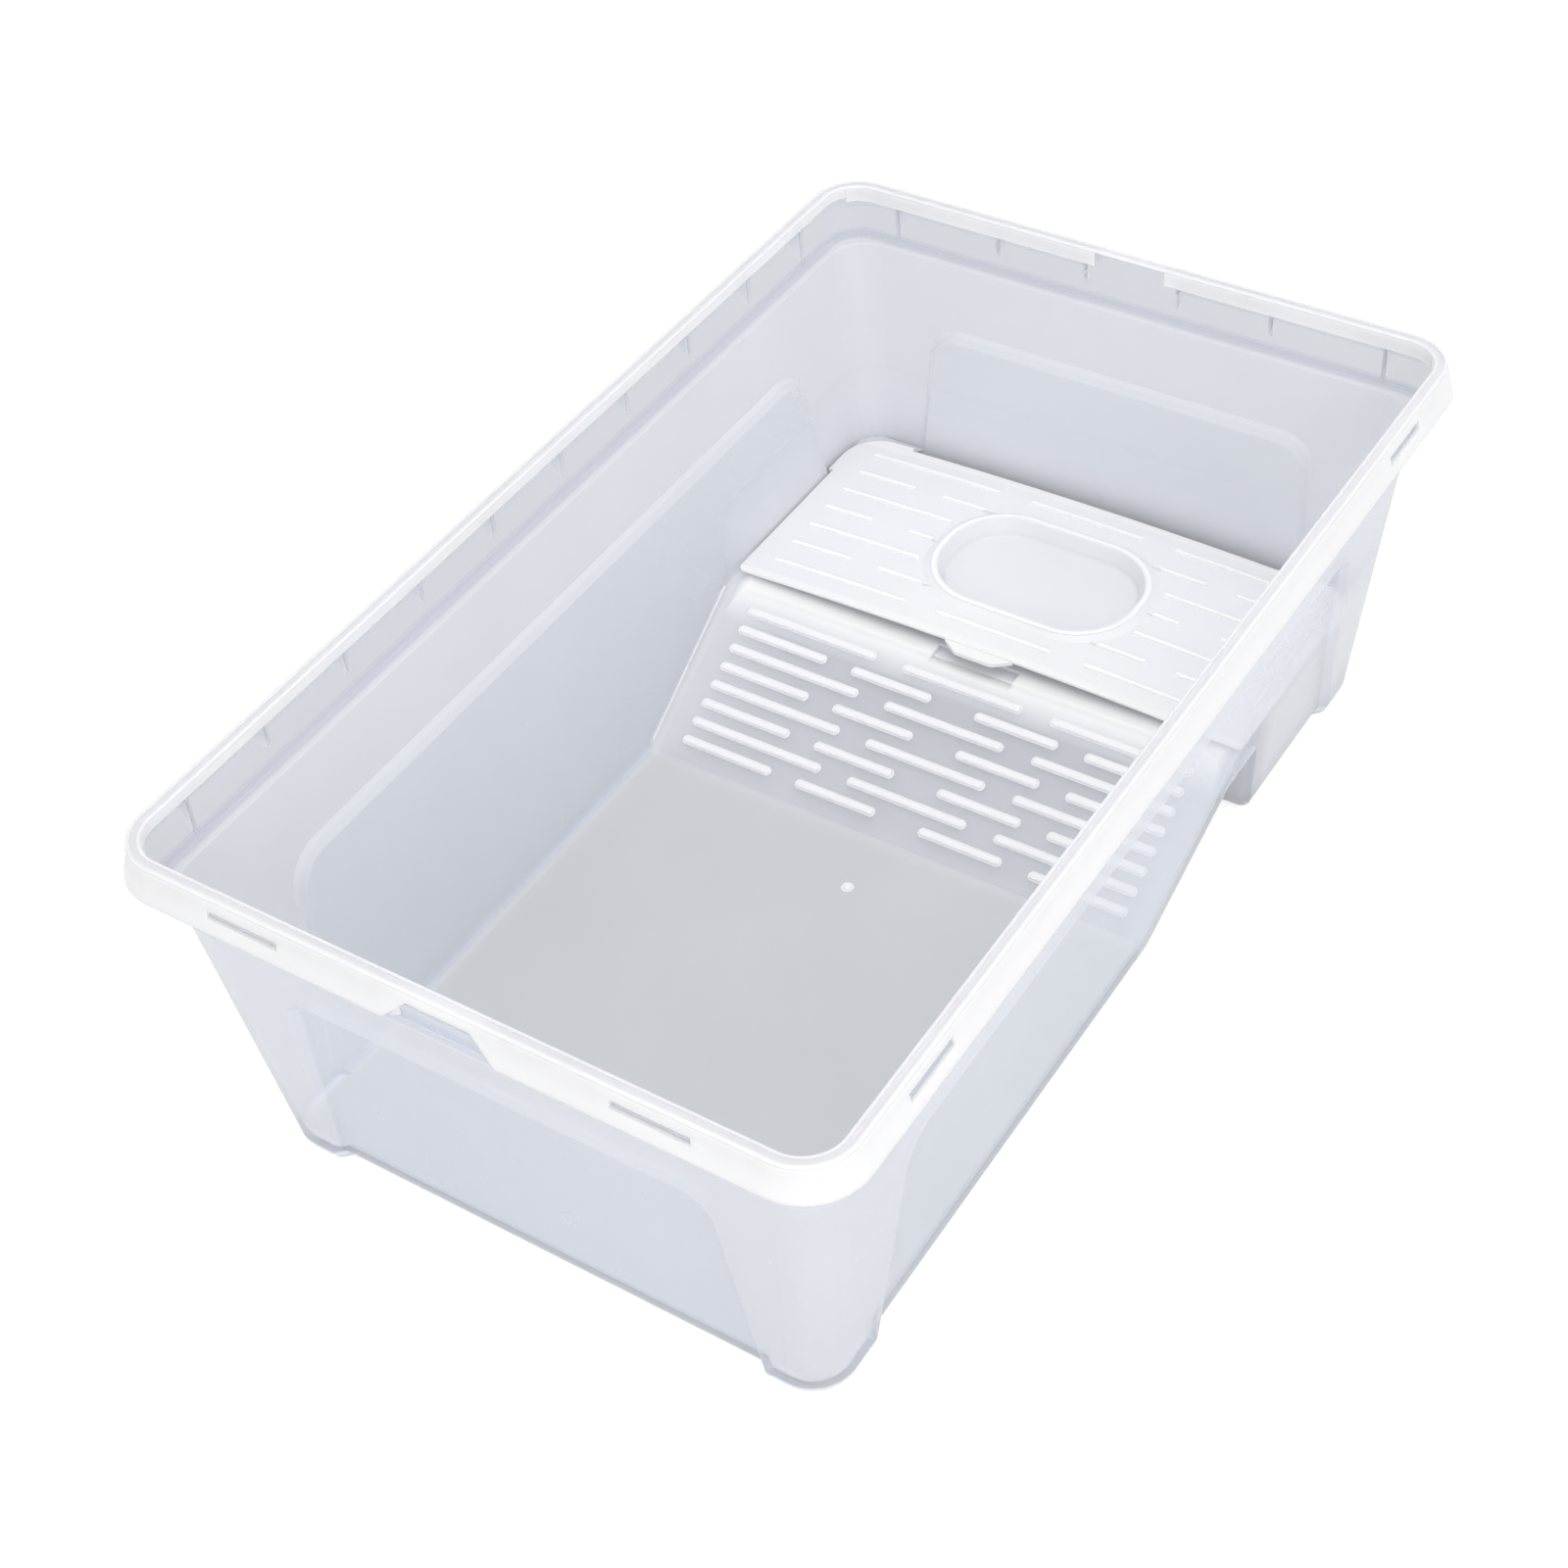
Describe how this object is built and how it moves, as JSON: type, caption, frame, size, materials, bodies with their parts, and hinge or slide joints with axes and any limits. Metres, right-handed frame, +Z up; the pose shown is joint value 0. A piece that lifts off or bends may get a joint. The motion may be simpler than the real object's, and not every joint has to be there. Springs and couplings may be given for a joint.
{
  "type": "turtle tank",
  "caption": "Translucent moulded tank with a sloping ramp and a lift-off basking platform with a feeding dish at one end",
  "frame": {"origin": "middle of the base, on the surface that the tank stands on", "axes": "+X along the length, from the deep end to the end with the basking platform; +Y across the width; +Z up"},
  "size_m": [0.45, 0.2764, 0.1514],
  "materials": {
    "milky_plastic": "translucent natural polypropylene, satin",
    "white_plastic": "milky white polypropylene, satin"
  },
  "bodies": {
    "tub": {"tub": "milky_plastic"},
    "platform": {"basking_platform": "white_plastic"}
  },
  "joints": [
    {"name": "platform_lift", "type": "slide", "parent": "tub", "child": "platform", "axis": [0, 0, 1], "range_m": [0, 0.12]}
  ]
}
